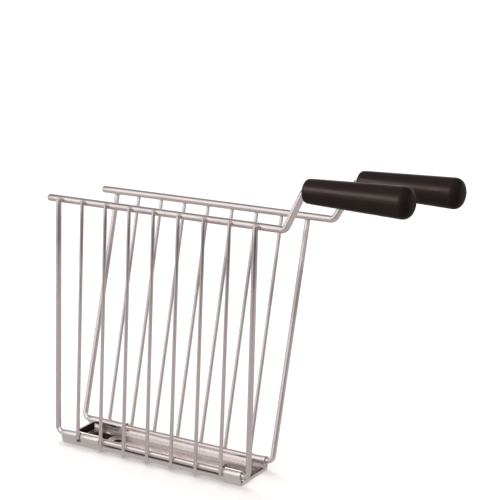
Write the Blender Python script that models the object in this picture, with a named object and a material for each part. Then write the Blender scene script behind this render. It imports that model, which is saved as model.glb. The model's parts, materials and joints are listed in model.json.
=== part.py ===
"""Toasting cage: two hinged wire panels with handles on a folded sheet-steel tray.

+X runs along the tray towards the handles, the front panel is on the -Y side, +Z is up.
The origin is the middle of the tray's underside. Metres.
"""
from math import atan2, cos, hypot, pi, radians, sin, tan

import bmesh
import bpy
from mathutils import Vector

MM = 0.001
GAP = 0.3 * MM                      # clearance between pieces that touch or are welded

# driving dimensions
PITCH = 16.0 * MM                   # spacing of the upright wires
WIRES = 7                           # thin wires in a panel
SPAN = PITCH * (WIRES + 1)          # between the two thick uprights
ROD_Y = 12.0 * MM                   # hinge rods, either side of the middle
ROD_Z = 5.6 * MM                    # hinge rods above the table
PANEL_H = 133.0 * MM                # hinge rod to top rail, along the panel
RAIL_R = 2.0 * MM
FRAME_R = 1.5 * MM
WIRE_R = 1.0 * MM
FRAME_BEND = 3.2 * MM               # centre-line radius of the frame's lower corners
FRONT_LEAN = radians(-4.4)          # panels' lean away from the middle, as the cage stands
REAR_LEAN = radians(17.1)

RAIL_TIP = {"front": 10.1 * MM, "rear": 8.2 * MM}         # rail beyond the far upright
# start corner of each crank, beyond the near upright
CRANK_FOOT = {"front": 15.4 * MM, "rear": 17.7 * MM}
CRANK_RISE = 21.0 * MM
CRANK_SLOPE = radians(64.0)
CRANK_BEND = 3.5 * MM
TANG_IN = 30.0 * MM                 # rail inside the handle

HANDLE_START = {"front": 26.8 * MM, "rear": 30.2 * MM}    # flat end, beyond the near upright
HANDLE_LEN = 58.4 * MM
HANDLE_R0 = 6.3 * MM                # at the wire end
HANDLE_R1 = 8.1 * MM                # at the free end
HANDLE_EDGE = 1.8 * MM              # rounding of the wire end
HANDLE_DOME = 5.0 * MM              # depth of the domed free end
DOME_POWER = 0.58                   # a half circle's is 1; less is blunter

SHEET = 0.6 * MM
FLANK_TOP = -1.9 * MM               # middle flank's top edge, from the rod's axis
FLANK_TOP_OUT = 0.9 * MM            # middle flank's outer face there, outside the rod's axis
FLANK_LOW_OUT = -0.1 * MM           # and at the tray's underside
KNUCKLE_LOW_OUT = 1.1 * MM          # end flank's outer face at the underside
KNUCKLE_R = FRAME_R + GAP + SHEET   # outer radius of the rolled knuckle
KNUCKLE_ROLL = radians(240.0)       # how far the sheet is rolled round the rod
FOLD_R = 0.9 * MM                   # outer radius of the tray's folds
TRAY_ENDS = (4.0 * MM, SPAN - 4.0 * MM)
KNUCKLE_FAR_END = 2 * PITCH - 1.6 * MM
KNUCKLE_NEAR_START = SPAN - PITCH + 1.6 * MM
END_WALL_X = 8.2 * MM
END_WALL_TOP = 0.0
LIP_H = 1.5 * MM
TAB_HALF = ROD_Y - FRAME_R - 2 * GAP    # half width of the end wall and the lip
WALL_CORNER = 1.2 * MM
LIP_CORNER = 0.4 * MM
SKIN = 0.25 * MM                    # sheet left under the panels pressed into the floor
# panels pressed into the floor: start, end, half width and corner radius
PRESSED = {"near_panel": (101.5 * MM, 120.8 * MM, 9.0 * MM, 2.0 * MM),
           "far_panel": (11.0 * MM, 24.4 * MM, 8.2 * MM, 2.0 * MM),
           "far_slot": (28.6 * MM, 33.2 * MM, 4.8 * MM, 1.2 * MM)}
NOTCH_HALF = 1.6 * MM               # notch in the far knuckles round the first wire
NOTCH_DEPTH = 3.2 * MM              # below the rod's axis
NOTCH_IN = 0.4 * MM                 # from the rod's axis outwards
PAST = 6.0 * MM                     # cutters run on this far past the sheet
TAIL = 4.7 * MM                     # wire tails below the rod's axis
STUB = 1.2 * MM                     # outermost wires below the rod's axis

COLORS = {
    "steel_wire": ((0.56, 0.53, 0.52), 0.22, 1.0),
    "steel_sheet": ((0.60, 0.57, 0.56), 0.16, 1.0),
    "black_grip": ((0.018, 0.015, 0.014), 0.38, 0.0),
}


def clear_scene():
    for obj in list(bpy.data.objects):
        bpy.data.objects.remove(obj, do_unlink=True)


def material(kind, node):
    color, roughness, metallic = COLORS[kind]
    mat = bpy.data.materials.new(f"{kind}_{node}")
    mat.use_nodes = True
    shader = mat.node_tree.nodes["Principled BSDF"]
    shader.inputs["Base Color"].default_value = (*color, 1.0)
    shader.inputs["Roughness"].default_value = roughness
    shader.inputs["Metallic"].default_value = metallic
    return mat


def add_object(name, bm, kind, parent=None, smooth=True):
    bmesh.ops.recalc_face_normals(bm, faces=bm.faces)
    mesh = bpy.data.meshes.new(name)
    bm.to_mesh(mesh)
    bm.free()
    if smooth:
        mesh.shade_smooth()
        mesh.set_sharp_from_angle(angle=radians(35))
    obj = bpy.data.objects.new(name, mesh)
    bpy.context.collection.objects.link(obj)
    if kind:
        mesh.materials.append(material(kind, name))
    obj.parent = parent
    return obj


# ---- wire work ----

def arc_corner(before, corner, after, radius, steps=7):
    """Points of a round bend that replaces the corner of a path."""
    a = (before - corner).normalized()
    b = (after - corner).normalized()
    half = a.angle(b) / 2
    centre = corner + (a + b).normalized() * (radius / sin(half))
    start = corner + a * (radius / tan(half))
    end = corner + b * (radius / tan(half))
    u, v = start - centre, end - centre
    sweep = u.angle(v)
    points = []
    for i in range(steps + 1):
        t = sweep * i / steps
        points.append(centre + (u * sin(sweep - t) + v * sin(t)) / sin(sweep))
    return points


def bent_path(corners, radius):
    path = [corners[0]]
    for before, corner, after in zip(corners, corners[1:], corners[2:]):
        path += arc_corner(before, corner, after, radius)
    return path + [corners[-1]]


def wire_mesh(path, radius, sides=16, round_start=False, round_end=False):
    """A round wire along a path that stays in one plane of constant y."""
    side = Vector((0, 1, 0))
    rings = []
    last = len(path) - 1
    for i, point in enumerate(path):
        heading = (path[min(i + 1, last)] - path[max(i - 1, 0)])
        if 0 < i < last:
            heading = (path[i + 1] - point).normalized() + (point - path[i - 1]).normalized()
        heading.normalize()
        rings.append((point, heading, radius))
    if round_start:
        rings = rounded_tip(rings[0], -1)[::-1] + rings[1:]
    if round_end:
        rings = rings[:-1] + rounded_tip(rings[-1], 1)
    bm = bmesh.new()
    loops = []
    for point, heading, ring_r in rings:
        normal = heading.cross(side)
        loop = []
        for k in range(sides):
            angle = 2 * pi * k / sides
            loop.append(bm.verts.new(point + (side * cos(angle) + normal * sin(angle)) * ring_r))
        loops.append(loop)
    for low, high in zip(loops, loops[1:]):
        for k in range(sides):
            j = (k + 1) % sides
            bm.faces.new((low[k], low[j], high[j], high[k]))
    bm.faces.new(loops[0])
    bm.faces.new(loops[-1])
    return bm


def rounded_tip(ring, sign, depth=0.55, steps=3):
    """Rings that round a wire's end off; the tip stays where the path ends."""
    point, heading, radius = ring
    inset = radius * depth
    rings = []
    for i in range(steps + 1):
        t = (pi / 2) * i / (steps + 0.4)
        centre = point - heading * sign * (inset * (1 - sin(t)))
        rings.append((centre, heading, radius * (1 - depth * (1 - cos(t)))))
    return rings


def panel_point(x, out, up, side):
    """A point of a panel: out is away from the cage's middle, up is along the panel."""
    return Vector((x - SPAN / 2, side * out, up))


RAIL_OUT = -(RAIL_R + FRAME_R + GAP)
WIRE_OUT_LOW = FRAME_R + WIRE_R + GAP
WIRE_OUT_TOP = RAIL_OUT + RAIL_R + WIRE_R + GAP


def rail(label, side, hinge):
    """Top rail: straight, then a crank up to the handle's height and a tang inside the handle."""
    foot = SPAN + CRANK_FOOT[label]
    head = foot + CRANK_RISE / tan(CRANK_SLOPE)
    top = PANEL_H + CRANK_RISE
    ends = (-RAIL_TIP[label], SPAN + HANDLE_START[label] + TANG_IN)
    corners = [panel_point(ends[0], RAIL_OUT, PANEL_H, side), panel_point(foot, RAIL_OUT, PANEL_H, side),
               panel_point(head, RAIL_OUT, top, side), panel_point(ends[1], RAIL_OUT, top, side)]
    path = bent_path(corners, CRANK_BEND)
    return add_object(f"{label}_rail", wire_mesh(path, RAIL_R, sides=20, round_start=True), "steel_wire", hinge)


def frame(name, side, hinge):
    """Two uprights and the hinge rod between them, bent from one wire."""
    top = PANEL_H + RAIL_R * 0.5
    corners = [panel_point(0, 0, top, side), panel_point(0, 0, 0, side), panel_point(SPAN, 0, 0, side),
               panel_point(SPAN, 0, top, side)]
    path = bent_path(corners, FRAME_BEND)
    return add_object(name, wire_mesh(path, FRAME_R, 16, True, True), "steel_wire", hinge)


def thin_wire(name, index, side, hinge):
    """An upright wire; all but the outermost two run on below the rod as a stop."""
    low = -STUB if index in (1, WIRES) else -TAIL
    slope = (WIRE_OUT_TOP - WIRE_OUT_LOW) / PANEL_H
    x = index * PITCH
    ends = [panel_point(x, WIRE_OUT_LOW + slope * up, up, side) for up in (low, PANEL_H + RAIL_R * 0.5)]
    bm = wire_mesh(ends, WIRE_R, 14)
    return add_object(name, bm, "steel_wire", hinge)


# ---- handle ----

def handle_profile():
    """Half outline of the grip, from the bore's floor out over the grip to the domed tip."""
    bore_r = RAIL_R + GAP
    depth = TANG_IN + GAP
    points = [(depth, 0.0), (depth, bore_r), (0.0, bore_r)]
    for i in range(6):
        t = (pi / 2) * i / 5
        points.append((HANDLE_EDGE * (1 - cos(t)), HANDLE_R0 - HANDLE_EDGE * (1 - sin(t))))
    dome_start = HANDLE_LEN - HANDLE_DOME
    for i in range(9):
        t = (pi / 2) * i / 8
        points.append((dome_start + HANDLE_DOME * sin(t), HANDLE_R1 * max(cos(t), 0.0) ** DOME_POWER))
    points[-1] = (HANDLE_LEN, 0.0)
    return points


def handle(label, side, hinge, sides=28):
    origin = panel_point(SPAN + HANDLE_START[label], RAIL_OUT, PANEL_H + CRANK_RISE, side)
    bm = bmesh.new()
    loops = []
    for along, r in handle_profile():
        if r == 0.0:
            loops.append([bm.verts.new(origin + Vector((along, 0, 0)))])
            continue
        ring = [Vector((along, r * cos(2 * pi * k / sides), r * sin(2 * pi * k / sides))) for k in range(sides)]
        loops.append([bm.verts.new(origin + p) for p in ring])
    for low, high in zip(loops, loops[1:]):
        for k in range(sides):
            j = (k + 1) % sides
            if len(low) == 1:
                bm.faces.new((low[0], high[j], high[k]))
            elif len(high) == 1:
                bm.faces.new((low[k], low[j], high[0]))
            else:
                bm.faces.new((low[k], low[j], high[j], high[k]))
    return add_object(f"{label}_handle", bm, "black_grip", hinge)


# ---- tray ----

def offset_outline(path, thickness):
    """Closed outline of a sheet whose outer face follows the path; the sheet lies on its left."""
    inner = []
    last = len(path) - 1
    for i, (y, z) in enumerate(path):
        steps = []
        if i > 0:
            steps.append((y - path[i - 1][0], z - path[i - 1][1]))
        if i < last:
            steps.append((path[i + 1][0] - y, path[i + 1][1] - z))
        normals = [(-dz / hypot(dy, dz), dy / hypot(dy, dz)) for dy, dz in steps]
        ny = sum(n[0] for n in normals) / len(normals)
        nz = sum(n[1] for n in normals) / len(normals)
        scale = thickness / (ny * ny + nz * nz)
        inner.append((y + ny * scale, z + nz * scale))
    return path + inner[::-1]


def fold(y, z, slope, steps=4):
    """Rounded outer fold between the tray's underside and a flank that rises with a slope angle."""
    turn = slope
    reach = FOLD_R * tan(turn / 2)
    centre = (y - reach, z + FOLD_R)
    points = []
    for i in range(steps + 1):
        t = -pi / 2 + turn * i / steps
        points.append((centre[0] + FOLD_R * cos(t), centre[1] + FOLD_R * sin(t)))
    return points


def mirrored(right):
    return [(-y, z) for y, z in right[::-1]] + right


def middle_section():
    """Trough whose flanks stop below the hinge rods."""
    top = (ROD_Y + FLANK_TOP_OUT, ROD_Z + FLANK_TOP)
    low = (ROD_Y + FLANK_LOW_OUT, 0.0)
    slope = atan2(top[1] - low[1], top[0] - low[0])
    return mirrored(fold(*low, slope) + [top])


def knuckle_section(steps=14):
    """Trough whose flanks run up and roll round the hinge rods."""
    low = (ROD_Y + KNUCKLE_LOW_OUT, 0.0)
    start = (ROD_Y + KNUCKLE_R, ROD_Z)
    slope = atan2(start[1] - low[1], start[0] - low[0])
    right = fold(*low, slope)
    for i in range(steps + 1):
        t = KNUCKLE_ROLL * i / steps
        right.append((ROD_Y + KNUCKLE_R * cos(t), ROD_Z + KNUCKLE_R * sin(t)))
    return mirrored(right)


def prism(name, outline, start, length, axis="x"):
    """A closed outline extruded along X (outline in y, z) or Z (outline in x, y)."""
    bm = bmesh.new()
    if axis == "x":
        verts = [bm.verts.new((start, a, b)) for a, b in outline]
        step = Vector((length, 0, 0))
    else:
        verts = [bm.verts.new((a, b, start)) for a, b in outline]
        step = Vector((0, 0, length))
    face = bm.faces.new(verts)
    top = bmesh.ops.extrude_face_region(bm, geom=[face])
    bmesh.ops.translate(bm, verts=[v for v in top["geom"] if isinstance(v, bmesh.types.BMVert)], vec=step)
    return add_object(name, bm, None, smooth=False)


def rounded_rect(x0, x1, y0, y1, r, steps=4):
    points = []
    for cx, cy, first in ((x1 - r, y1 - r, 0), (x0 + r, y1 - r, 1), (x0 + r, y0 + r, 2), (x1 - r, y0 + r, 3)):
        for i in range(steps + 1):
            t = pi / 2 * (first + i / steps)
            points.append((cx + r * cos(t), cy + r * sin(t)))
    return points


def combine(target, tool, operation):
    tool.hide_render = True
    tool.display_type = "WIRE"
    modifier = target.modifiers.new(tool.name, "BOOLEAN")
    modifier.operation = operation
    modifier.solver = "EXACT"
    modifier.object = tool


def world_x(x):
    return x - SPAN / 2


def tray():
    """One folded sheet: plain flanks in the middle, rolled knuckles at both ends."""
    far, near = TRAY_ENDS
    lap = SHEET
    body = prism("tray", offset_outline(middle_section(), SHEET), world_x(KNUCKLE_FAR_END - lap),
                 KNUCKLE_NEAR_START - KNUCKLE_FAR_END + 2 * lap)
    knuckles = offset_outline(knuckle_section(), SHEET)
    combine(body, prism("far_knuckles", knuckles, world_x(far), KNUCKLE_FAR_END - far), "UNION")
    combine(body, prism("near_knuckles", knuckles, world_x(KNUCKLE_NEAR_START), near - KNUCKLE_NEAR_START),
            "UNION")
    for label, x in (("far", KNUCKLE_FAR_END - SHEET), ("near", KNUCKLE_NEAR_START)):
        for side in (-1, 1):
            step = [(side * y, z) for y, z in joggle_outline()]
            combine(body, prism(f"{label}_joggle_{side}", step, world_x(x), SHEET), "UNION")
    foot = SHEET / 3
    wall = rounded_rect(-TAB_HALF, TAB_HALF, foot, ROD_Z + END_WALL_TOP, WALL_CORNER)
    combine(body, prism("end_wall", wall, world_x(END_WALL_X), SHEET), "UNION")
    lip = rounded_rect(-TAB_HALF, TAB_HALF, foot, LIP_H, LIP_CORNER, 2)
    combine(body, prism("lip", lip, world_x(near - SHEET), SHEET), "UNION")
    cuts(body)
    body.data.materials.append(material("steel_sheet", "tray"))
    return body


def joggle_outline():
    """Closes the step between a middle flank and an end flank."""
    top_y, top_z = middle_section()[-1]
    end_low = ROD_Y + KNUCKLE_LOW_OUT
    end_top = end_low + (KNUCKLE_R - KNUCKLE_LOW_OUT) * top_z / ROD_Z
    foot = ROD_Y + FLANK_LOW_OUT - FOLD_R
    inset = SHEET / 6
    return [(foot, inset), (end_low - FOLD_R / 2, inset), (end_low - inset / 2, SHEET),
            (end_top - inset, top_z), (top_y - SHEET * 0.7, top_z), (foot, SHEET * 0.8)]


def cuts(body):
    for name, (x0, x1, half, r) in PRESSED.items():
        outline = rounded_rect(world_x(x0), world_x(x1), -half, half, r)
        combine(body, prism(name, outline, SKIN, PAST, axis="z"), "DIFFERENCE")
    far = TRAY_ENDS[0]
    clear = ROD_Y - FRAME_R - GAP
    outline = rounded_rect(world_x(far - PAST), world_x(END_WALL_X), -clear, clear, SHEET / 3, 2)
    combine(body, prism("floor_end", outline, -PAST, 3 * PAST, axis="z"), "DIFFERENCE")
    for side in (-1, 1):
        y0, y1 = sorted((side * (ROD_Y + NOTCH_IN), side * (ROD_Y + PAST)))
        z0, z1 = ROD_Z - NOTCH_DEPTH, ROD_Z + PAST
        outline = [(y0, z0), (y1, z0), (y1, z1), (y0, z1)]
        notch = prism(f"wire_notch_{side}", outline, world_x(PITCH - NOTCH_HALF), 2 * NOTCH_HALF)
        combine(body, notch, "DIFFERENCE")


def hinge(name, side, lean):
    """Empty on a hinge rod's axis, turned by the panel's lean."""
    empty = bpy.data.objects.new(name, None)
    bpy.context.collection.objects.link(empty)
    empty.location = (0, side * ROD_Y, ROD_Z)
    empty.rotation_euler = (-side * lean, 0, 0)
    return empty


def panel(label, side, lean):
    axis = hinge(f"{label}_hinge", side, lean)
    frame(f"{label}_frame", side, axis)
    rail(label, side, axis)
    for index in range(1, WIRES + 1):
        thin_wire(f"{label}_wire_{index}", index, side, axis)
    handle(label, side, axis)


clear_scene()
tray()
panel("front", -1, FRONT_LEAN)
panel("rear", 1, REAR_LEAN)
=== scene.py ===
"""Looks of the toasting cage: bright wire panels, black grips and a polished folded tray."""
import json
from math import atan2, cos, exp, pi, radians, sin, tan
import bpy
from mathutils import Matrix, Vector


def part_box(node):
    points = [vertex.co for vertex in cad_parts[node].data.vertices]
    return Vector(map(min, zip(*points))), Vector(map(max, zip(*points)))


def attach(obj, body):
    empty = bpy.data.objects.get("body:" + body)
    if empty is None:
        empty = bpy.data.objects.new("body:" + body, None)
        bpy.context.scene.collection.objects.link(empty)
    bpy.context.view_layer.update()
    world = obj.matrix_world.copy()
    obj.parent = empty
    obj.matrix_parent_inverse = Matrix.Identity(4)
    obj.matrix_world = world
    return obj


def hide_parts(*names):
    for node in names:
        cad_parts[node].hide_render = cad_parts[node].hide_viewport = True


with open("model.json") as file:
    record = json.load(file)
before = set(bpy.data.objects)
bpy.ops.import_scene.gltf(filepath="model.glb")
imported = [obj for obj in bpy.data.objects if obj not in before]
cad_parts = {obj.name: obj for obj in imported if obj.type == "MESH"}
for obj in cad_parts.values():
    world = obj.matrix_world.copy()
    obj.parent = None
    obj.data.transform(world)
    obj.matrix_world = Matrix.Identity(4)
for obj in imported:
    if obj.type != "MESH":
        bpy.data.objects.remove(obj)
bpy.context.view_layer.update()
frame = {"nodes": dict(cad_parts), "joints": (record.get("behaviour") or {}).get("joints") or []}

from types import SimpleNamespace

import bmesh
import bpy
from mathutils import Matrix, Vector

MM = 0.001

# ---- sizes: places come from the frame, the rest are sizes of the wires, grips and sheet ----
ROD_LOW, ROD_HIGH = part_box("front_frame")
FRAME_R = 1.5 * MM
RAIL_R = 2.0 * MM
WIRE_R = 1.0 * MM
WIRES = 7
HALF = (ROD_HIGH.x - ROD_LOW.x) / 2 - FRAME_R      # middle of the tray to a thick upright
PITCH = 2 * HALF / (WIRES + 1)
FRAME_BEND = 3.2 * MM                              # centre line of the frame's lower corners
CRANK_BEND = 3.6 * MM
CRANK_RISE = 21.0 * MM                             # from the rail up to the handle's middle
CRANK_FOOT = {"front": 15.4 * MM, "rear": 17.7 * MM}   # beyond the near upright
CRANK_SLOPE = radians(64)
TANG = 29 * MM                                     # length of the rail's end inside a handle
WELD_SINK = 0.12 * MM                              # how far welded wires sink into each other
FRAME_PAST_RAIL = 1.0 * MM                         # wires end this far above the rail's middle
WIRE_PAST_RAIL = 1.1 * MM
TAIL = 4.7 * MM                                    # thin wires end this far below the hinge rod
SHORT_TAIL = 1.2 * MM                              # the same for the first and the last one
SPOT_SINK = 0.1 * MM                               # weld spots: how deep, and half sizes on 3 axes
LOW_SPOT = (1.45 * MM, 0.75 * MM, 1.25 * MM)
HIGH_SPOT = (1.5 * MM, 0.8 * MM, 1.2 * MM)
CORNER_SPOT = (1.8 * MM, 0.9 * MM, 1.5 * MM)

GRIP_R = 6.3 * MM                                  # grip's radius at its wire end
GRIP_EDGE = 1.8 * MM                               # rounding of that end
GRIP_DOME = 5.0 * MM                               # length of the domed free end
DOME_POWER = 0.58                                  # 1 would be half an ellipse, less is blunter
BORE_R = RAIL_R + 0.12 * MM
BORE_DEPTH = 6 * MM
BORE_FLARE = 0.5 * MM
SEAM_RIDGE = 0.05 * MM                             # height of the mould's seam line
SEAM_WIDTH = 0.035                                 # its width as an angle round the grip
SEAM_START = 1.5 * MM
SEAM_MIN_R = 2.5 * MM                              # no seam inside the bore

HINGES = {j["child"]: Vector(j["pos_m"]) for j in frame["joints"]}
ROD_Y = HINGES["rear_panel"].y
ROD_Z = HINGES["rear_panel"].z

SHEET = 0.6 * MM
KNUCKLE_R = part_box("tray")[1].y - ROD_Y            # outer radius of the rolled knuckle
KNUCKLE_ROLL = radians(240)
FLANK_TOP = (ROD_Y + 0.5 * MM, ROD_Z - 1.9 * MM)   # outer face of the middle flanks, y and z
FLANK_LOW = (ROD_Y - 0.85 * MM, 0.0)
KNUCKLE_LOW = (ROD_Y + 1.1 * MM, 0.0)
FOLD_R = 0.9 * MM
STEP_RUN = 0.55 * MM                               # length over which a flank steps out to a knuckle
SAME = 1e-6                                        # places closer than this are the same
TRAY_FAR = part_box("tray")[0].x
TRAY_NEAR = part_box("tray")[1].x
WIRE_CLEAR = 1.6 * MM                              # knuckles and notches stop this far from a wire's middle
KNUCKLE_FAR_END = -HALF + 2 * PITCH - WIRE_CLEAR
KNUCKLE_NEAR_START = HALF - PITCH + WIRE_CLEAR
END_WALL_X = TRAY_FAR + 4.2 * MM
WALL_HALF = ROD_Y - FRAME_R - 0.5 * MM             # half width of the end wall
WALL_TAB = 2.4 * MM                                # floor part of the end wall's piece
LIP_H = 1.5 * MM
LIP_HALF = ROD_Y - 0.3 * MM
LIP_TAB = 3.0 * MM                                 # floor part of the lip's piece
TAB_CORNER = 1.2 * MM                              # rounded upper corners of the end wall
LIP_CORNER = 0.3 * MM
SKIN = 0.25 * MM                                   # sheet left under the pressed panels
# panels pressed into the floor: start, end, half width and corner radius
PRESSED = ((HALF - 26.5 * MM, HALF - 7.2 * MM, 9.0 * MM, 2.0 * MM),
           (-HALF + 11.0 * MM, -HALF + 24.4 * MM, 8.2 * MM, 2.0 * MM),
           (-HALF + 28.6 * MM, -HALF + 33.2 * MM, 4.8 * MM, 1.2 * MM))
BED_INSET = 0.08 * MM                              # gap round the darkened bed of a panel

REFLECTION_BAND_HEIGHTS = {"front": (112 * MM, 135 * MM), "rear": (82 * MM, 104 * MM)}   # heights of the band of painted dark reflection
REFLECTION_BAND_WOBBLE = 5 * MM
REFLECTION_BAND_RISE = 9 * MM                                 # softness of the band's lower and upper edge
REFLECTION_BAND_FALL = 6 * MM
CLEAN_WIRE = ((0.64, 0.57, 0.56), (0.74, 0.68, 0.67))
# painted reflection: darker wire colour where the wires mirror dark surroundings
REFLECTED_DARK_WIRE = ((0.45, 0.39, 0.38), (0.58, 0.52, 0.51))
WELD_TONES = ((0.46, 0.40, 0.37), (0.62, 0.56, 0.54))
SHEET_TONES = ((0.66, 0.61, 0.595), (0.80, 0.75, 0.735))
BROWN_TONES = ((0.20, 0.165, 0.16), (0.27, 0.23, 0.22))
BLACK_TONES = ((0.010, 0.008, 0.008), (0.030, 0.025, 0.024))
# painted shade: colour of the shaded crevice under the front rod
CREVICE_SHADE = (0.15, 0.12, 0.11)
GRIP_TONES = ((0.005, 0.0034, 0.003), (0.008, 0.0055, 0.005))
PAPER_TONES = ((0.80, 0.786, 0.78), (0.825, 0.812, 0.806))


# ---- materials ----

def new_material(name):
    mat = bpy.data.materials.new(name)
    mat.use_nodes = True
    return mat, mat.node_tree, mat.node_tree.nodes["Principled BSDF"]


def add_node(tree, kind, **values):
    node = tree.nodes.new(kind)
    for key, value in values.items():
        if key in node.inputs:
            node.inputs[key].default_value = value
        else:
            setattr(node, key, value)
    return node


def grain_vector(tree, attribute=None, stretch=(1, 1, 1)):
    """Coordinates in millimetres, stretched along the grain; an attribute follows a bent wire."""
    if attribute:
        source = add_node(tree, "ShaderNodeAttribute", attribute_name=attribute).outputs["Vector"]
        scale = stretch
    else:
        source = add_node(tree, "ShaderNodeTexCoord").outputs["Object"]
        scale = tuple(s / MM for s in stretch)
    mapping = add_node(tree, "ShaderNodeMapping", Scale=scale)
    tree.links.new(source, mapping.inputs["Vector"])
    return mapping.outputs["Vector"]


def noise(tree, vector, scale, detail=3.0, roughness=0.55):
    node = add_node(tree, "ShaderNodeTexNoise", Scale=scale, Detail=detail, Roughness=roughness)
    tree.links.new(vector, node.inputs["Vector"])
    return node.outputs["Fac"]


def remap(tree, value, low, high, start=0.3, end=0.7):
    node = add_node(tree, "ShaderNodeMapRange")
    for label, number in (("From Min", start), ("From Max", end), ("To Min", low), ("To Max", high)):
        node.inputs[label].default_value = number
    tree.links.new(value, node.inputs["Value"])
    return node.outputs["Result"]


def two_tone(tree, factor, first, second):
    """Mix of two colours; each is three values or another node's output."""
    node = add_node(tree, "ShaderNodeMix", data_type="RGBA")
    tree.links.new(factor, node.inputs["Factor"])
    color_in = [s for s in node.inputs if s.type == "RGBA"]
    for socket, color in zip(color_in, (first, second)):
        if isinstance(color, tuple):
            socket.default_value = (*color, 1)
        else:
            tree.links.new(color, socket)
    return [s for s in node.outputs if s.type == "RGBA"][0]


def arithmetic(tree, operation, *values):
    """Result of a math node; each value is a number or another node's output."""
    node = add_node(tree, "ShaderNodeMath", operation=operation)
    for socket, value in zip(node.inputs, values):
        if isinstance(value, (int, float)):
            socket.default_value = value
        else:
            tree.links.new(value, socket)
    return node.outputs["Value"]


def add_bump(tree, shader, height, distance, strength):
    node = add_node(tree, "ShaderNodeBump", Distance=distance, Strength=strength)
    tree.links.new(height, node.inputs["Height"])
    tree.links.new(node.outputs["Normal"], shader.inputs["Normal"])


def wire_steel(label):
    """Drawn and plated wire: bright warm grey with draw lines, darker in a band of painted reflection of
    dark surroundings.
    """
    mat, tree, shader = new_material(f"drawn_wire_{label}")
    shader.inputs["Metallic"].default_value = 1.0
    lines = noise(tree, grain_vector(tree, "along", (1, 1, 0.03)), 5.0, 4.0)
    patches = noise(tree, grain_vector(tree, "along", (0.2, 0.2, 0.06)), 1.0, 2.0)
    clean = two_tone(tree, patches, *CLEAN_WIRE)
    reflected_dark = two_tone(tree, patches, *REFLECTED_DARK_WIRE)
    # painted reflection: between two heights the wire is darkened as if mirroring dark surroundings
    color = two_tone(tree, painted_reflection_band(tree, *REFLECTION_BAND_HEIGHTS[label]), clean, reflected_dark)
    tree.links.new(color, shader.inputs["Base Color"])
    tree.links.new(remap(tree, lines, 0.16, 0.26), shader.inputs["Roughness"])
    add_bump(tree, shader, lines, 0.012 * MM, 0.5)
    return mat


def painted_reflection_band(tree, low, high):
    """How much painted dark reflection the wire gets: a soft band between two heights."""
    place = add_node(tree, "ShaderNodeTexCoord").outputs["Object"]
    split = add_node(tree, "ShaderNodeSeparateXYZ")
    tree.links.new(place, split.inputs["Vector"])
    wobble = remap(tree, noise(tree, grain_vector(tree), 0.09, 2.0), -REFLECTION_BAND_WOBBLE, REFLECTION_BAND_WOBBLE)
    level = arithmetic(tree, "ADD", split.outputs["Z"], wobble)
    rise = remap(tree, level, 0.0, 1.0, low - REFLECTION_BAND_RISE, low + REFLECTION_BAND_RISE)
    fall = remap(tree, level, 1.0, 0.0, high - REFLECTION_BAND_FALL, high + REFLECTION_BAND_FALL)
    return arithmetic(tree, "MULTIPLY", rise, fall)


def weld_steel():
    """Weld spots: the same steel, duller and slightly straw-brown from the heat."""
    mat, tree, shader = new_material("weld_spot")
    shader.inputs["Metallic"].default_value = 1.0
    scale = noise(tree, grain_vector(tree), 1.3, 4.0)
    tree.links.new(two_tone(tree, scale, *WELD_TONES), shader.inputs["Base Color"])
    tree.links.new(remap(tree, scale, 0.3, 0.5), shader.inputs["Roughness"])
    add_bump(tree, shader, scale, 0.05 * MM, 0.6)
    return mat


def tray_steel(name, tones, metallic=1.0, seam=False):
    """Rolled sheet with grain along X and faint smudges; seam adds painted shade in the crevice under the
    front rod.
    """
    mat, tree, shader = new_material(name)
    shader.inputs["Metallic"].default_value = metallic
    shader.inputs["Specular IOR Level"].default_value = 0.5 * metallic
    grain = noise(tree, grain_vector(tree, stretch=(0.03, 1, 1)), 3.5, 4.0)
    smudges = noise(tree, grain_vector(tree, stretch=(0.09, 0.2, 0.2)), 1.0, 3.0)
    color = two_tone(tree, smudges, *tones)
    if seam:
        # painted shade: darkens the flank's top edge under the front rod
        color = two_tone(tree, crevice_shade_mask(tree), color, CREVICE_SHADE)
    tree.links.new(color, shader.inputs["Base Color"])
    tree.links.new(remap(tree, smudges, 0.22, 0.34), shader.inputs["Roughness"])
    add_bump(tree, shader, grain, 0.02 * MM, 0.4)
    return mat


def crevice_shade_mask(tree):
    """Painted shade in the crevice where the front flank meets the rod above it."""
    place = add_node(tree, "ShaderNodeTexCoord").outputs["Object"]
    split = add_node(tree, "ShaderNodeSeparateXYZ")
    tree.links.new(place, split.inputs["Vector"])
    x, y, z = (split.outputs[name] for name in "XYZ")
    drift = noise(tree, grain_vector(tree, stretch=(0.08, 1, 1)), 1.0, 2.0)
    level = arithmetic(tree, "ADD", z, remap(tree, drift, -0.25 * MM, 0.25 * MM))
    top, start, end = FLANK_TOP[1], KNUCKLE_FAR_END, KNUCKLE_NEAR_START
    total = remap(tree, level, 0.0, 1.0, top - 1.2 * MM, top - 0.5 * MM)
    for part in (remap(tree, y, 1.0, 0.0, -ROD_Y + 0.2 * MM, -ROD_Y + 0.5 * MM),
                 remap(tree, x, 0.0, 1.0, start - 1 * MM, start + 6 * MM),
                 remap(tree, x, 1.0, 0.0, end - 4 * MM, end + 1 * MM)):
        total = arithmetic(tree, "MULTIPLY", total, part)
    return total


def black_grip():
    """Satin black moulded plastic with a very fine texture."""
    mat, tree, shader = new_material("black_plastic")
    cloud = noise(tree, grain_vector(tree), 0.12, 3.0)
    grit = noise(tree, grain_vector(tree), 3.2, 3.0)
    tree.links.new(two_tone(tree, cloud, *GRIP_TONES), shader.inputs["Base Color"])
    tree.links.new(remap(tree, cloud, 0.30, 0.40), shader.inputs["Roughness"])
    shader.inputs["Specular IOR Level"].default_value = 0.045
    shader.inputs["Specular Tint"].default_value = (1.0, 0.86, 0.80, 1)
    add_bump(tree, shader, grit, 0.03 * MM, 0.35)
    return mat


# ---- mesh helpers ----

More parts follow.
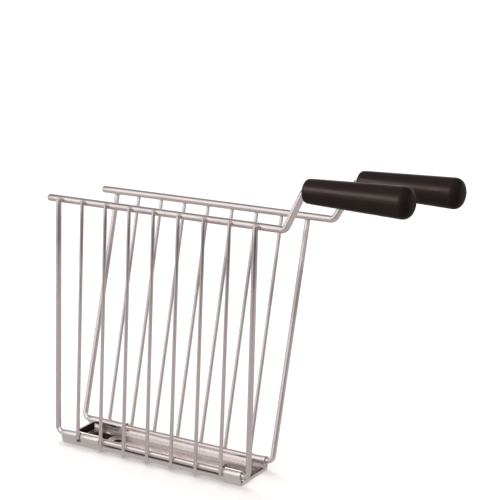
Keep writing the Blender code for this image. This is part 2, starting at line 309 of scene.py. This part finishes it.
def finish_mesh(name, bm, material, body, nodes=(), crease=35):
    bmesh.ops.recalc_face_normals(bm, faces=bm.faces)
    mesh = bpy.data.meshes.new(name)
    bm.to_mesh(mesh)
    bm.free()
    mesh.shade_smooth()
    mesh.set_sharp_from_angle(angle=radians(crease))
    mesh.materials.append(material)
    piece = bpy.data.objects.new(name, mesh)
    bpy.context.collection.objects.link(piece)
    settle(piece, body, nodes)
    return piece


def settle(piece, body, nodes):
    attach(piece, body)
    if nodes:
        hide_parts(*nodes)


def arc_corner(before, corner, after, radius, steps=14):
    """Points of a round bend that replaces the corner of a path."""
    a = (before - corner).normalized()
    b = (after - corner).normalized()
    half = a.angle(b) / 2
    centre = corner + (a + b).normalized() * (radius / sin(half))
    u = corner + a * (radius / tan(half)) - centre
    v = corner + b * (radius / tan(half)) - centre
    sweep = u.angle(v)
    times = [sweep * i / steps for i in range(steps + 1)]
    return [centre + (u * sin(sweep - t) + v * sin(t)) / sin(sweep) for t in times]


def bent_path(corners, radius):
    path = [corners[0]]
    for before, corner, after in zip(corners, corners[1:], corners[2:]):
        path += arc_corner(before, corner, after, radius)
    return path + [corners[-1]]


def subdivided(path, step):
    """The same path with no stretch longer than a step."""
    out = [path[0]]
    for a, b in zip(path, path[1:]):
        count = max(1, round((b - a).length / step))
        out += [a.lerp(b, i / count) for i in range(1, count + 1)]
    return out


def tip_rings(point, heading, radius, sign, edge):
    """Rings of a cut wire end whose edge is rounded, from the wire to the end face."""
    rings = []
    for i in range(5):
        t = (pi / 2) * i / 4
        back = sign * edge * (1 - sin(t))
        rings.append((point - heading * back, heading, radius - edge * (1 - cos(t))))
    return rings


def tube(bm, path, radius, across, sides=28, edge=0.35):
    """A round wire along a path; across is not parallel to any stretch of it."""
    along = bm.verts.layers.float_vector["along"]
    path = subdivided(path, 9 * MM)
    last = len(path) - 1
    rings = []
    for i, point in enumerate(path):
        ahead = (path[i + 1] - point).normalized() if i < last else Vector()
        behind = (point - path[i - 1]).normalized() if i > 0 else Vector()
        rings.append((point, (ahead + behind).normalized(), radius))
    start, end = rings[0], rings[-1]
    rings = tip_rings(start[0], start[1], radius, -1, radius * edge)[::-1] + rings[1:-1] \
        + tip_rings(end[0], end[1], radius, 1, radius * edge)
    loops = []
    travelled = 0.0
    for index, (point, heading, ring_r) in enumerate(rings):
        if index:
            travelled += (point - rings[index - 1][0]).length
        normal = heading.cross(across).normalized()
        side = normal.cross(heading).normalized()
        loop = []
        for k in range(sides):
            angle = 2 * pi * k / sides
            vert = bm.verts.new(point + (side * cos(angle) + normal * sin(angle)) * ring_r)
            vert[along] = Vector((radius * cos(angle), radius * sin(angle), travelled)) / MM
            loop.append(vert)
        loops.append(loop)
    for low, high in zip(loops, loops[1:]):
        for k in range(sides):
            j = (k + 1) % sides
            bm.faces.new((low[k], low[j], high[j], high[k]))
    bm.faces.new(loops[0])
    bm.faces.new(loops[-1])


def wire_mesh():
    bm = bmesh.new()
    bm.verts.layers.float_vector.new("along")
    return bm


def nugget(bm, centre, axes, radii, seed, rings=10, sides=16):
    """A weld spot: a closed, slightly uneven blob on three axes."""
    rows = []
    for i in range(1, rings):
        polar = pi * i / rings
        row = []
        for k in range(sides):
            turn = 2 * pi * k / sides
            swell = 1 + 0.07 * sin(3 * turn + seed) * sin(polar)
            swell += 0.05 * sin(5 * polar + 2 * turn + 1.7 * seed)
            part = (sin(polar) * cos(turn), sin(polar) * sin(turn), cos(polar))
            offset = sum((axis * (r * p * swell) for axis, r, p in zip(axes, radii, part)), Vector())
            row.append(bm.verts.new(centre + offset))
        rows.append(row)
    top = bm.verts.new(centre + axes[2] * radii[2])
    low = bm.verts.new(centre - axes[2] * radii[2])
    for k in range(sides):
        j = (k + 1) % sides
        bm.faces.new((top, rows[0][k], rows[0][j]))
        bm.faces.new((low, rows[-1][j], rows[-1][k]))
        for upper, lower in zip(rows, rows[1:]):
            bm.faces.new((upper[k], lower[k], lower[j], upper[j]))


# ---- panels ----

def tilt_of(label, hinge):
    """How far a panel leans towards +Y, from the middle of its uprights' upper ends."""
    verts = [v.co for v in frame["nodes"][f"{label}_frame"].data.vertices]
    high = max(v.z for v in verts)
    tops = [v for v in verts if v.z > high - 3 * MM]
    centre = sum(tops, Vector()) / len(tops)
    return atan2(centre.y - hinge.y, centre.z - hinge.z)


def panel_layout(label, side):
    """A panel's hinge, its own axes, and where its rail and grip lie on them."""
    p = SimpleNamespace(label=label, body=f"{label}_panel")
    p.hinge = HINGES[p.body]
    tilt = tilt_of(label, p.hinge)
    p.along = Vector((1, 0, 0))
    p.up = Vector((0, sin(tilt), cos(tilt)))
    p.out = Vector((0, side * cos(tilt), -side * sin(tilt)))
    grip_low, grip_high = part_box(f"{label}_handle")
    grip_axis = (grip_low + grip_high) / 2 - p.hinge
    p.grip_start, p.grip_end = grip_low.x, grip_high.x
    p.grip_out = p.out.dot(grip_axis)
    p.grip_up = p.up.dot(grip_axis)
    p.rail_out = -(RAIL_R + FRAME_R) + WELD_SINK
    p.rail_up = p.grip_up - CRANK_RISE
    return p


def place(p, x, away, height):
    return p.hinge + p.along * x + p.out * away + p.up * height


def wire_x(index):
    return -HALF + index * PITCH


def frame_wire(p, steel):
    """The thick U: hinge rod along the tray and an upright at each end."""
    bm = wire_mesh()
    top = p.rail_up + FRAME_PAST_RAIL
    outline = ((-HALF, top), (-HALF, 0), (HALF, 0), (HALF, top))
    corners = [place(p, x, 0, height) for x, height in outline]
    tube(bm, bent_path(corners, FRAME_BEND), FRAME_R, p.out)
    finish_mesh(f"{p.label}_frame_wire", bm, steel, p.body, [f"{p.label}_frame"])


def rail_wire(p, steel):
    """The top rail, its crank and the tang inside the grip, as one bent wire."""
    bm = wire_mesh()
    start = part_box(f"{p.label}_rail")[0].x
    foot = HALF + CRANK_FOOT[p.label]
    head = foot + CRANK_RISE / tan(CRANK_SLOPE)
    corners = [place(p, x, p.rail_out, p.rail_up) for x in (start, foot)]
    corners += [place(p, x, p.grip_out, p.grip_up) for x in (head, p.grip_start + TANG)]
    tube(bm, bent_path(corners, CRANK_BEND), RAIL_R, p.out, sides=36, edge=0.75)
    finish_mesh(f"{p.label}_rail_wire", bm, steel, p.body, [f"{p.label}_rail"])


def upright_wires(p, steel):
    """Thin wires outside the frame, from below the hinge rod to just above the rail."""
    low_out = FRAME_R + WIRE_R - WELD_SINK
    top_out = p.rail_out + RAIL_R + WIRE_R - WELD_SINK
    slope = (top_out - low_out) / p.rail_up
    for index in range(1, WIRES + 1):
        tail = SHORT_TAIL if index in (1, WIRES) else TAIL
        heights = (-tail, p.rail_up + WIRE_PAST_RAIL)
        path = [place(p, wire_x(index), low_out + slope * h, h) for h in heights]
        bm = wire_mesh()
        tube(bm, path, WIRE_R, p.along, sides=22)
        finish_mesh(f"{p.label}_upright_{index}", bm, steel, p.body,
                    [f"{p.label}_wire_{index}"])


def weld_spots(p, weld):
    """Spots between thin wires and rod, thin wires and rail, and thick uprights and rail."""
    axes = (p.along, p.out, p.up)
    spots = bmesh.new()
    for index in range(1, WIRES + 1):
        x = wire_x(index)
        nugget(spots, place(p, x, FRAME_R - SPOT_SINK, 0), axes, LOW_SPOT, index)
        high = place(p, x, p.rail_out + RAIL_R - SPOT_SINK, p.rail_up)
        nugget(spots, high, axes, HIGH_SPOT, index + 4)
    for end in (-1, 1):
        corner = place(p, end * HALF, -FRAME_R + SPOT_SINK, p.rail_up)
        nugget(spots, corner, axes, CORNER_SPOT, end + 9)
    finish_mesh(f"{p.label}_weld_spots", spots, weld, p.body)


def panel(label, side, steel, weld, plastic):
    p = panel_layout(label, side)
    frame_wire(p, steel)
    rail_wire(p, steel)
    upright_wires(p, steel)
    weld_spots(p, weld)
    grip(p, plastic)


def grip_profile(length, r0, r1):
    """Half outline of the grip: bore, rounded wire end, long flare and domed free end."""
    points = [(BORE_DEPTH, BORE_R), (0.5 * MM, BORE_R), (0.15 * MM, BORE_R + 0.12 * MM)]
    points.append((0.0, BORE_R + BORE_FLARE))
    for i in range(11):
        t = (pi / 2) * i / 10
        points.append((GRIP_EDGE * (1 - cos(t)), r0 - GRIP_EDGE * (1 - sin(t))))
    straight = length - GRIP_DOME
    for i in range(1, 12):
        along = GRIP_EDGE + (straight - GRIP_EDGE) * i / 12
        points.append((along, r0 + (r1 - r0) * along / straight))
    for i in range(17):
        t = (pi / 2) * i / 16
        points.append((straight + GRIP_DOME * sin(t), r1 * max(cos(t), 0.0) ** DOME_POWER))
    return points[:-1]


def seam_height(turn):
    """Height of the mould's two seam lines at an angle round the grip."""
    away = [(turn - seam + pi) % (2 * pi) - pi for seam in (0.0, pi)]
    return SEAM_RIDGE * sum(exp(-(angle / SEAM_WIDTH) ** 2) for angle in away)


def grip(p, plastic, sides=96):
    """A lathe-turned look with the fine ridge that a two-part mould leaves on either side."""
    origin = place(p, 0, p.grip_out, p.grip_up)
    low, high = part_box(f"{p.label}_handle")
    end_r = (high.z - low.z) / 2
    bm = bmesh.new()
    loops = []
    for distance, r in grip_profile(p.grip_end - p.grip_start, GRIP_R, end_r):
        has_seam = r > SEAM_MIN_R and distance > SEAM_START
        centre = origin + p.along * (p.grip_start + distance)
        loop = []
        for k in range(sides):
            turn = 2 * pi * k / sides
            radius = r + (seam_height(turn) if has_seam else 0.0)
            loop.append(bm.verts.new(centre + (p.out * cos(turn) + p.up * sin(turn)) * radius))
        loops.append(loop)
    for first, second in zip(loops, loops[1:]):
        for k in range(sides):
            j = (k + 1) % sides
            bm.faces.new((first[k], first[j], second[j], second[k]))
    tip = bm.verts.new(origin + p.along * p.grip_end)
    back = bm.verts.new(origin + p.along * (p.grip_start + BORE_DEPTH))
    for k in range(sides):
        j = (k + 1) % sides
        bm.faces.new((loops[-1][k], loops[-1][j], tip))
        bm.faces.new((loops[0][j], loops[0][k], back))
    finish_mesh(f"{p.label}_grip", bm, plastic, p.body, [f"{p.label}_handle"], 40)


# ---- tray ----

def lerp(a, b, t):
    return a + (b - a) * t


def smooth(t):
    t = min(max(t, 0.0), 1.0)
    return t * t * (3 - 2 * t)


def flank_points(x):
    """Outer face of one side at x: floor, fold and the flank up to the rods' underside."""
    to_far = smooth((KNUCKLE_FAR_END + STEP_RUN - x) / STEP_RUN)
    to_near = smooth((x - KNUCKLE_NEAR_START + STEP_RUN) / STEP_RUN)
    end = max(to_far, to_near)
    knuckle_top = (ROD_Y + KNUCKLE_R, ROD_Z)
    share = FLANK_TOP[1] / knuckle_top[1]
    end_top = (lerp(KNUCKLE_LOW[0], knuckle_top[0], share), FLANK_TOP[1])
    low_y = lerp(FLANK_LOW[0], KNUCKLE_LOW[0], end)
    top_y = lerp(FLANK_TOP[0], end_top[0], end)
    slope = atan2(FLANK_TOP[1], top_y - low_y)
    reach = FOLD_R * tan(slope / 2)
    points = [(low_y * i / 6, 0.0) for i in range(1, 6)]
    for i in range(9):
        t = -pi / 2 + slope * i / 8
        points.append((low_y - reach + FOLD_R * cos(t), FOLD_R + FOLD_R * sin(t)))
    points.append((lerp(points[-1][0], top_y, 0.5), lerp(points[-1][1], FLANK_TOP[1], 0.5)))
    return points + [(top_y, FLANK_TOP[1])]


def roll_points():
    """Outer face of a knuckle from the flank's top, up and round the rod."""
    points = []
    steps = 30
    for i in range(steps + 1):
        t = KNUCKLE_ROLL * i / steps
        points.append((ROD_Y + KNUCKLE_R * cos(t), ROD_Z + KNUCKLE_R * sin(t)))
    return points


def tray_stations():
    """Places along the tray, close together where the flanks step in."""
    xs = [TRAY_FAR, KNUCKLE_FAR_END, KNUCKLE_NEAR_START, TRAY_NEAR]
    for start in (KNUCKLE_FAR_END, KNUCKLE_NEAR_START - STEP_RUN):
        xs += [start + STEP_RUN * i / 6 for i in range(7)]
    xs += [lerp(TRAY_FAR, KNUCKLE_FAR_END, i / 6) for i in range(7)]
    xs += [lerp(KNUCKLE_FAR_END + STEP_RUN, KNUCKLE_NEAR_START - STEP_RUN, i / 16) for i in range(17)]
    xs += [lerp(KNUCKLE_NEAR_START, TRAY_NEAR, i / 4) for i in range(5)]
    return sorted(set(round(x, 7) for x in xs))


def tray_shell():
    """The folded sheet's outer face as one grid, with the rolls only at the two ends."""
    bm = bmesh.new()
    rows = []
    for x in tray_stations():
        rolled = x <= KNUCKLE_FAR_END + SAME or x >= KNUCKLE_NEAR_START - SAME
        outline = flank_points(x) + (roll_points() if rolled else [])
        centre = bm.verts.new((x, 0, 0))
        rows.append([[centre] + [bm.verts.new((x, side * y, z)) for y, z in outline]
                     for side in (-1, 1)])
    for row, next_row in zip(rows, rows[1:]):
        for line, next_line in zip(row, next_row):
            for a in range(min(len(line), len(next_line)) - 1):
                bm.faces.new((line[a], line[a + 1], next_line[a + 1], next_line[a]))
    bmesh.ops.recalc_face_normals(bm, faces=bm.faces)
    return bm


def rounded_rect(x0, x1, y0, y1, r, steps=8):
    points = []
    centres = ((x1 - r, y1 - r), (x0 + r, y1 - r), (x0 + r, y0 + r), (x1 - r, y0 + r))
    for first, (cx, cy) in enumerate(centres):
        for i in range(steps + 1):
            t = pi / 2 * (first + i / steps)
            points.append((cx + r * cos(t), cy + r * sin(t)))
    return points


def plain_object(name, bm):
    mesh = bpy.data.meshes.new(name)
    bm.to_mesh(mesh)
    bm.free()
    obj = bpy.data.objects.new(name, mesh)
    bpy.context.collection.objects.link(obj)
    return obj


def cutter(name, outline, low, high):
    bm = bmesh.new()
    face = bm.faces.new([bm.verts.new((a, b, low)) for a, b in outline])
    top = bmesh.ops.extrude_face_region(bm, geom=[face])
    moved = [v for v in top["geom"] if isinstance(v, bmesh.types.BMVert)]
    bmesh.ops.translate(bm, verts=moved, vec=Vector((0, 0, high - low)))
    bmesh.ops.recalc_face_normals(bm, faces=bm.faces)
    return plain_object(name, bm)


def tray_cutters():
    """Panels pressed into the floor, the open floor beyond the end wall and notches for two wires."""
    made = [cutter(f"pressed_cut_{i}", rounded_rect(x0, x1, -half, half, r), SKIN, 4 * MM)
            for i, (x0, x1, half, r) in enumerate(PRESSED)]
    half = WALL_HALF + 0.2 * MM
    open_end = rounded_rect(TRAY_FAR - 2 * MM, END_WALL_X, -half, half, 0.3 * MM)
    made.append(cutter("open_end_cut", open_end, -2 * MM, 4 * MM))
    notch_start, notch_end = wire_x(1) - WIRE_CLEAR, wire_x(1) + WIRE_CLEAR
    for side in (-1, 1):
        ys = sorted((side * (ROD_Y + 0.4 * MM), side * (ROD_Y + 6 * MM)))
        outline = rounded_rect(notch_start, notch_end, *ys, 0.3 * MM, 3)
        made.append(cutter(f"notch_cut_{side}", outline, ROD_Z - 3.2 * MM, ROD_Z + 6 * MM))
    return made


def dark_panels(near_material, far_material):
    """The darkened beds of the pressed panels, and the dark inner face of the end wall."""
    for name, (x0, x1, half, r) in zip(("near", "far", "slot"), PRESSED):
        half -= BED_INSET
        outline = rounded_rect(x0 + BED_INSET, x1 - BED_INSET, -half, half, r - BED_INSET)
        bed = cutter(f"tray_bed_{name}_raw", outline, SKIN - 0.02 * MM, SKIN + 0.05 * MM)
        finish_plate(bed, f"tray_bed_{name}", near_material if name == "near" else far_material)
    half = WALL_HALF - 0.5 * MM
    outline = rounded_rect(-half, half, 0.8 * MM, ROD_Z - 0.35 * MM, 0.9 * MM)
    face = cutter("tray_wall_face_raw", outline, -0.02 * MM, 0.04 * MM)
    upright = Matrix(((0, 0, 1, END_WALL_X + SHEET), (1, 0, 0, 0), (0, 1, 0, 0), (0, 0, 0, 1)))
    face.data.transform(upright)
    finish_plate(face, "tray_wall_face", far_material)


def finish_plate(obj, name, material):
    soften(obj, 0.02 * MM)
    done = applied(obj, name)
    shade(done, material)
    settle(done, "tray", [])


def applied(obj, name):
    """The mesh with its modifiers applied, as a fresh object."""
    graph = bpy.context.evaluated_depsgraph_get()
    mesh = bpy.data.meshes.new_from_object(obj.evaluated_get(graph))
    bpy.data.objects.remove(obj, do_unlink=True)
    mesh.name = name
    done = bpy.data.objects.new(name, mesh)
    bpy.context.collection.objects.link(done)
    return done


def soften(obj, width=0.13 * MM):
    """Small bevels on the sheared edges."""
    bevel = obj.modifiers.new("soft_edges", "BEVEL")
    bevel.width = width
    bevel.segments = 2
    bevel.limit_method = "ANGLE"
    bevel.angle_limit = radians(50)
    bevel.use_clamp_overlap = True


def shade(obj, material, angle=32):
    obj.data.shade_smooth()
    obj.data.set_sharp_from_angle(angle=radians(angle))
    obj.data.materials.clear()
    obj.data.materials.append(material)


def thicken(obj):
    """Gives a surface the sheet's thickness, on its inner side."""
    thick = obj.modifiers.new("thickness", "SOLIDIFY")
    thick.thickness = SHEET
    thick.offset = -1
    thick.use_even_offset = True


def tray(steel):
    shell = plain_object("shell", tray_shell())
    thicken(shell)
    cutters = tray_cutters()
    for tool in cutters:
        cut = shell.modifiers.new(tool.name, "BOOLEAN")
        cut.operation = "DIFFERENCE"
        cut.solver = "EXACT"
        cut.object = tool
    soften(shell)
    done = applied(shell, "tray_sheet")
    for tool in cutters:
        bpy.data.objects.remove(tool, do_unlink=True)
    shade(done, steel)
    settle(done, "tray", ["tray"])


def bent_tab(name, start, bend_x, height, direction, material, half, corner):
    """A tab that runs along the floor and turns up; direction is +1 for a bend towards +X."""
    path = [(start, 0.0)]
    for i in range(9):
        t = (pi / 2) * i / 8
        path.append((bend_x - direction * FOLD_R * (1 - sin(t)), FOLD_R * (1 - cos(t))))
    for i in range(1, 9):
        path.append((bend_x, lerp(FOLD_R, height, i / 8)))
    bm = bmesh.new()
    rows = []
    for x, z in path:
        inset = max(0.0, z - (height - corner))
        width = half - (corner - (max(corner ** 2 - inset ** 2, 0.0)) ** 0.5)
        rows.append([bm.verts.new((x, lerp(-width, width, k / 10), z)) for k in range(11)])
    for low, high in zip(rows, rows[1:]):
        for k in range(10):
            bm.faces.new((low[k], low[k + 1], high[k + 1], high[k]))
    bmesh.ops.recalc_face_normals(bm, faces=bm.faces)
    if sum(f.normal.z for f in bm.faces) > 0:
        bmesh.ops.reverse_faces(bm, faces=bm.faces)
    obj = plain_object(name + "_raw", bm)
    thicken(obj)
    soften(obj, 0.1 * MM)
    done = applied(obj, name)
    shade(done, material)
    settle(done, "tray", [])


# ---- studio ----

# camera: direction from the part, roll, distance, lens, and where it looks relative to AIM
AZIMUTH = radians(32.66)
ELEVATION = radians(14.97)
ROLL = radians(-0.84)
DISTANCE = 0.7874
LENS = 104.99
AIM = Vector((0.0, 0.0, ROD_Z + 70 * MM))
AIM_RIGHT = 49.44 * MM
AIM_UP = 40.48 * MM


def camera_axes():
    back = Vector((sin(AZIMUTH) * cos(ELEVATION), -cos(AZIMUTH) * cos(ELEVATION), sin(ELEVATION)))
    right = Vector((cos(AZIMUTH), sin(AZIMUTH), 0))
    up = back.cross(right)
    return (right * cos(ROLL) + up * sin(ROLL), up * cos(ROLL) - right * sin(ROLL), back)


def camera():
    right, up, back = camera_axes()
    data = bpy.data.cameras.new("camera")
    data.sensor_width = 36
    data.lens = LENS
    data.clip_start = 0.01
    data.clip_end = 100
    cam = bpy.data.objects.new("camera", data)
    bpy.context.collection.objects.link(cam)
    turn = Matrix((right, up, back)).transposed().to_4x4()
    place = AIM + right * AIM_RIGHT + up * AIM_UP + back * DISTANCE
    cam.matrix_world = Matrix.Translation(place) @ turn
    bpy.context.scene.camera = cam


def stage_plane(name, centre, x_axis, y_axis, material):
    bm = bmesh.new()
    corners = [centre + x_axis * a + y_axis * b for a, b in ((-1, -1), (1, -1), (1, 1), (-1, 1))]
    bm.faces.new([bm.verts.new(c) for c in corners])
    obj = plain_object(name, bm)
    obj.data.materials.append(material)
    return obj


def floor():
    mat, tree, shader = new_material("white_paper")
    shader.inputs["Roughness"].default_value = 0.9
    shader.inputs["Specular IOR Level"].default_value = 0.1
    fibres = noise(tree, grain_vector(tree), 0.4, 3.0)
    tree.links.new(two_tone(tree, fibres, *PAPER_TONES), shader.inputs["Base Color"])
    paper = stage_plane("floor", Vector((0, 0, 0)), Vector((8, 0, 0)), Vector((0, 8, 0)), mat)
    paper.visible_glossy = False


def only_in_reflections(obj):
    obj.visible_camera = False
    obj.visible_diffuse = False
    obj.visible_shadow = False
    obj.visible_transmission = False
    obj.visible_volume_scatter = False


def glow(name, strength, color=(1.0, 0.97, 0.96)):
    mat = bpy.data.materials.new(name)
    mat.use_nodes = True
    tree = mat.node_tree
    tree.nodes.clear()
    shine = add_node(tree, "ShaderNodeEmission", Color=(*color, 1), Strength=strength)
    end = add_node(tree, "ShaderNodeOutputMaterial")
    tree.links.new(shine.outputs["Emission"], end.inputs["Surface"])
    return mat


def cards():
    """Studio cards that only show up as reflections in the metal."""
    toward = Vector((sin(AZIMUTH), -cos(AZIMUTH), 0))
    side = Vector((cos(AZIMUTH), sin(AZIMUTH), 0))
    tall = Vector((0, 0, 0.30))
    dark = stage_plane("dark_card", toward * 0.75 + side * 0.22, side * 0.16, tall,
                       glow("dark_tone", 0.05))
    bright = stage_plane("bright_card", toward * 0.35 - side * 0.75, toward * 0.35, tall,
                         glow("bright_tone", 1.25))
    below = toward * -0.75 + Vector((0, 0, -0.002))
    table = stage_plane("table_card", below, side * 1.5, toward * 1.3, glow("table_tone", 0.60))
    for card in (dark, bright, table):
        only_in_reflections(card)


def studio_world():
    """Light all round, as in a tented studio, which the camera itself sees as plain white."""
    world = bpy.data.worlds.new("studio")
    bpy.context.scene.world = world
    world.use_nodes = True
    tree = world.node_tree
    tree.nodes.clear()
    direction = add_node(tree, "ShaderNodeTexCoord").outputs["Generated"]
    split = add_node(tree, "ShaderNodeSeparateXYZ")
    tree.links.new(direction, split.inputs["Vector"])
    behind = add_node(tree, "ShaderNodeVectorMath", operation="DOT_PRODUCT")
    behind.inputs[1].default_value = (-sin(AZIMUTH), cos(AZIMUTH), 0)
    tree.links.new(direction, behind.inputs[0])
    angle = arithmetic(tree, "ARCTAN2", split.outputs["Z"], behind.outputs["Value"])
    turns = arithmetic(tree, "WRAP", arithmetic(tree, "DIVIDE", angle, 2 * pi), 1.0, 0.0)
    ramp = add_node(tree, "ShaderNodeValToRGB")
    elements = ramp.color_ramp.elements
    while len(elements) < len(SKY):
        elements.new(0.5)
    for element, (degrees, level) in zip(elements, SKY):
        element.position = degrees / 360
        element.color = (level / SKY_TOP, level / SKY_TOP * 0.985, level / SKY_TOP * 0.98, 1)
    tree.links.new(turns, ramp.inputs["Fac"])
    back = add_node(tree, "ShaderNodeBackground", Strength=SKY_TOP)
    tree.links.new(ramp.outputs["Color"], back.inputs["Color"])
    seen = add_node(tree, "ShaderNodeBackground", Color=(1, 1, 1, 1), Strength=1.0)
    blend = add_node(tree, "ShaderNodeMixShader")
    tree.links.new(add_node(tree, "ShaderNodeLightPath").outputs["Is Camera Ray"], blend.inputs[0])
    tree.links.new(back.outputs["Background"], blend.inputs[1])
    tree.links.new(seen.outputs["Background"], blend.inputs[2])
    end = add_node(tree, "ShaderNodeOutputWorld")
    tree.links.new(blend.outputs["Shader"], end.inputs["Surface"])


def sun(power, spread, tilt, turn):
    data = bpy.data.lights.new("sun", "SUN")
    data.energy = power
    data.angle = spread
    data.color = (1, 0.985, 0.98)
    obj = bpy.data.objects.new("sun", data)
    bpy.context.collection.objects.link(obj)
    obj.rotation_euler = (tilt, 0, turn)
    obj.visible_glossy = False


def strip_light(name, aim, heading, height, size, energy, lit, blockers=None):
    """A soft rectangle that only reaches the lit pieces; blockers, if given, alone cast its shadows."""
    data = bpy.data.lights.new(name, "AREA")
    data.shape = "RECTANGLE"
    data.size, data.size_y = size
    data.energy = energy
    data.color = (1.0, 0.95, 0.93)
    strip = bpy.data.objects.new(name, data)
    bpy.context.collection.objects.link(strip)
    strip.location = aim + heading * (STRIP_AWAY * cos(height)) + Vector((0, 0, STRIP_AWAY * sin(height)))
    strip.rotation_euler = (aim - strip.location).to_track_quat("-Z", "Y").to_euler()
    strip.light_linking.receiver_collection = named_pieces(name + "_lit", lit)
    if blockers:
        strip.light_linking.blocker_collection = named_pieces(name + "_blockers", blockers)


def named_pieces(name, pieces):
    group = bpy.data.collections.new(name)
    for piece in pieces:
        group.objects.link(bpy.data.objects[piece])
    return group


def strip_lights():
    """One strip for the grips, where their long sides mirror the camera, and one behind for the tray."""
    mirrored = Vector((-sin(AZIMUTH), -cos(AZIMUTH), 0))
    behind = Vector((-sin(AZIMUTH), cos(AZIMUTH), 0))
    grips = ["front_grip", "rear_grip"]
    strip_light("grip_strip", GRIP_AIM, mirrored, radians(27), (0.8, 0.30), GRIP_STRIP, grips)
    strip_light("tray_strip", Vector((0, 0, 0)), behind, radians(22), (1.2, 0.5), TRAY_STRIP,
                ["tray_sheet"], grips)


# brightness round the vertical circle through the camera: degrees from the horizon behind the
# object, over the top, down to the camera's side and back underneath
SKY = ((0, 1.15), (20, 1.2), (28, 0.30), (76, 0.36), (92, 1.0), (106, 1.45), (150, 1.35), (163, 0.9),
       (176, 0.6), (184, 0.22), (200, 0.2), (225, 0.25), (310, 0.4), (340, 0.8), (360, 1.15))
SKY_TOP = 2.0                                      # the ramp holds shares of this
SUN_POWER = 2.3
STRIP_AWAY = 0.9                                   # strips' distance, and their powers in watts
TRAY_STRIP = 3.2
GRIP_STRIP = 24
GRIP_AIM = Vector((0.12, 0.02, 0.155))


def studio():
    floor()
    cards()
    studio_world()
    sun(SUN_POWER, radians(44), radians(36), radians(-135))
    strip_lights()
    bpy.context.scene.view_settings.view_transform = "Standard"
    bpy.context.scene.view_settings.look = "None"


# ---- build ----

camera()
weld, plastic = weld_steel(), black_grip()
sheet = tray_steel("bright_sheet", SHEET_TONES, seam=True)
panel("front", -1, wire_steel("front"), weld, plastic)
panel("rear", 1, wire_steel("rear"), weld, plastic)
tray(sheet)
brown = tray_steel("brown_sheet", BROWN_TONES)
black = tray_steel("black_sheet", BLACK_TONES, metallic=0.0)
dark_panels(brown, black)
bent_tab("tray_end_wall", END_WALL_X + WALL_TAB, END_WALL_X, ROD_Z, -1, sheet, WALL_HALF, TAB_CORNER)
bent_tab("tray_lip", TRAY_NEAR - LIP_TAB, TRAY_NEAR, LIP_H, 1, sheet, LIP_HALF, LIP_CORNER)
studio()
